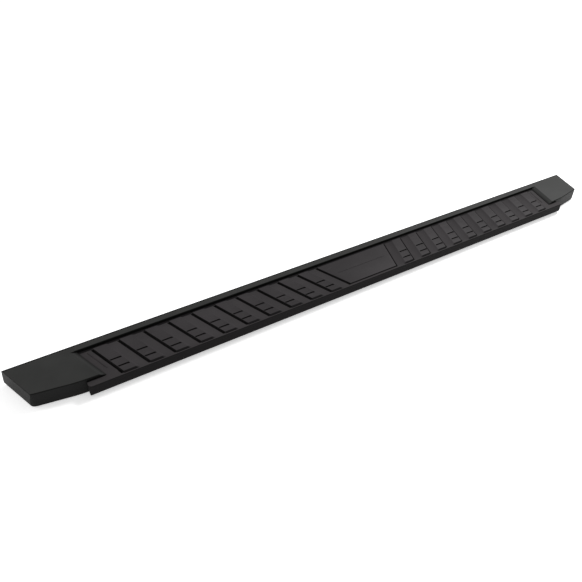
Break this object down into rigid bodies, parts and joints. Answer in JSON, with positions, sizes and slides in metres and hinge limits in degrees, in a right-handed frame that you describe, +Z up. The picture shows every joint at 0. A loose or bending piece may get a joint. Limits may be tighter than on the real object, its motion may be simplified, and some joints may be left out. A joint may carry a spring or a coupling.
{
  "type": "running board",
  "caption": "Long flat step for the side of a truck or van: slanted non-slip tread pad on an extruded beam with angled end caps and sliding bracket nuts underneath.",
  "frame": {"origin": "middle of the board's underside, on the surface it rests on", "axes": "+X along the board, +Y towards the vehicle, +Z up; the tread's front lip is at -Y"},
  "size_m": [1.9736, 0.1524, 0.043],
  "materials": {
    "deck_coat": "black textured powder coat",
    "pad_plastic": "fine moulded grain, unpainted",
    "cap_plastic": "fine satin moulded grain",
    "screw_steel": "zinc plated",
    "plate_steel": "zinc plated"
  },
  "bodies": {
    "board": {"deck_extrusion": "deck_coat", "step_pad": "pad_plastic", "end_cap_left": "cap_plastic", "end_cap_right": "cap_plastic", "cap_screws_left": "screw_steel", "cap_screws_right": "screw_steel", "pad_screws_outer_row": "screw_steel", "pad_screws_inner_row": "screw_steel"},
    "nut_plate_outer_left": {"nut_plate_outer_left": "plate_steel", "weld_nuts_outer_left": "plate_steel"},
    "nut_plate_outer_centre": {"nut_plate_outer_centre": "plate_steel", "weld_nuts_outer_centre": "plate_steel"},
    "nut_plate_outer_right": {"nut_plate_outer_right": "plate_steel", "weld_nuts_outer_right": "plate_steel"},
    "nut_plate_inner_left": {"nut_plate_inner_left": "plate_steel", "weld_nuts_inner_left": "plate_steel"},
    "nut_plate_inner_centre": {"nut_plate_inner_centre": "plate_steel", "weld_nuts_inner_centre": "plate_steel"},
    "nut_plate_inner_right": {"nut_plate_inner_right": "plate_steel", "weld_nuts_inner_right": "plate_steel"}
  },
  "joints": [
    {"name": "slide_outer_left", "type": "slide", "parent": "board", "child": "nut_plate_outer_left", "axis": [1, 0, 0], "range_m": [-0.14, 0.25]},
    {"name": "slide_outer_centre", "type": "slide", "parent": "board", "child": "nut_plate_outer_centre", "axis": [1, 0, 0], "range_m": [-0.25, 0.25]},
    {"name": "slide_outer_right", "type": "slide", "parent": "board", "child": "nut_plate_outer_right", "axis": [1, 0, 0], "range_m": [-0.25, 0.14]},
    {"name": "slide_inner_left", "type": "slide", "parent": "board", "child": "nut_plate_inner_left", "axis": [1, 0, 0], "range_m": [-0.14, 0.25]},
    {"name": "slide_inner_centre", "type": "slide", "parent": "board", "child": "nut_plate_inner_centre", "axis": [1, 0, 0], "range_m": [-0.25, 0.25]},
    {"name": "slide_inner_right", "type": "slide", "parent": "board", "child": "nut_plate_inner_right", "axis": [1, 0, 0], "range_m": [-0.25, 0.14]}
  ]
}
